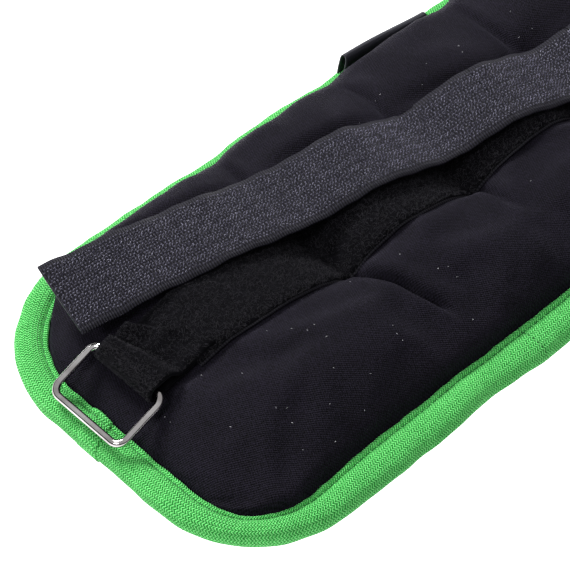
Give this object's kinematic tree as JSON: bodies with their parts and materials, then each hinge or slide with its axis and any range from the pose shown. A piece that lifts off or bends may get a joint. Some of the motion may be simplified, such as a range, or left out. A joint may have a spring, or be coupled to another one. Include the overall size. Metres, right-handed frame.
{
  "type": "ankle cuff weight",
  "caption": "Padded ankle cuff with shot-filled pockets, bound edge, wire ring and hook-and-loop strap, laid flat and open.",
  "frame": {"origin": "centre of the face that lies against the leg, with the cuff laid flat", "axes": "+X along the cuff from the ring end to the strap end, +Y across it, +Z away from the leg"},
  "size_m": [0.344, 0.15, 0.03],
  "materials": {
    "neoprene": "napped stretch cloth on foam",
    "lining_fabric": "smooth knitted cloth",
    "bag_fabric": "plain woven",
    "steel_shot": "dull",
    "binding": "ribbed knit",
    "loop_tape": "brushed loop pile",
    "steel_wire": "polished",
    "label": "satin ribbon",
    "hook_tape": "woven tape with nylon hooks"
  },
  "bodies": {
    "pocket_1": {"cover_1": "neoprene", "lining_1": "lining_fabric", "weight_bag_1": "bag_fabric", "shot_fill_1": "steel_shot", "edge_binding_1": "binding", "partition_1": "bag_fabric", "loop_tape_1": "loop_tape", "ring_holder": "loop_tape", "binding_join": "binding"},
    "pocket_2": {"cover_2": "neoprene", "lining_2": "lining_fabric", "weight_bag_2": "bag_fabric", "shot_fill_2": "steel_shot", "edge_binding_2": "binding", "partition_2": "bag_fabric", "loop_tape_2": "loop_tape"},
    "pocket_3": {"cover_3": "neoprene", "lining_3": "lining_fabric", "weight_bag_3": "bag_fabric", "shot_fill_3": "steel_shot", "edge_binding_3": "binding", "partition_3": "bag_fabric", "loop_tape_3": "loop_tape", "label_tab": "label"},
    "pocket_4": {"cover_4": "neoprene", "lining_4": "lining_fabric", "weight_bag_4": "bag_fabric", "shot_fill_4": "steel_shot", "edge_binding_4": "binding", "loop_tape_4": "loop_tape", "strap_anchor": "hook_tape"},
    "ring": {"ring": "steel_wire"},
    "strap_1": {"strap_1": "hook_tape"},
    "strap_2": {"strap_2": "hook_tape"},
    "strap_3": {"strap_3": "hook_tape"},
    "strap_4": {"strap_4": "hook_tape"}
  },
  "joints": [
    {"name": "wrap_1", "type": "hinge", "parent": "pocket_2", "child": "pocket_1", "pos_m": [-0.06, 0, 0], "axis": [0, -1, 0], "range_deg": [0, 75]},
    {"name": "wrap_2", "type": "hinge", "parent": "pocket_2", "child": "pocket_3", "pos_m": [0, 0, 0], "axis": [0, 1, 0], "range_deg": [0, 75]},
    {"name": "wrap_3", "type": "hinge", "parent": "pocket_3", "child": "pocket_4", "pos_m": [0.06, 0, 0], "axis": [0, 1, 0], "range_deg": [0, 75]},
    {"name": "ring_swing", "type": "hinge", "parent": "pocket_1", "child": "ring", "pos_m": [-0.1465, 0.01088, 0.0206], "axis": [0, 1, 0], "range_deg": [0, 120]},
    {"name": "strap_swing", "type": "hinge", "parent": "pocket_4", "child": "strap_4", "pos_m": [0.156, -0.00127, 0.01096], "axis": [0, 1, 0], "range_deg": [0, 150]},
    {"name": "strap_bend_3", "type": "hinge", "parent": "strap_4", "child": "strap_3", "pos_m": [0.06, 0.00497, 0.026], "axis": [0, 1, 0], "range_deg": [0, 30]},
    {"name": "strap_bend_2", "type": "hinge", "parent": "strap_3", "child": "strap_2", "pos_m": [0, 0.01688, 0.026], "axis": [0, 1, 0], "range_deg": [0, 30]},
    {"name": "strap_bend_1", "type": "hinge", "parent": "strap_2", "child": "strap_1", "pos_m": [-0.06, 0.02879, 0.026], "axis": [0, 1, 0], "range_deg": [0, 30]}
  ],
  "couplings": [
    {"joint": "wrap_2", "follows": "wrap_1", "ratio": 1},
    {"joint": "wrap_3", "follows": "wrap_1", "ratio": 1}
  ]
}
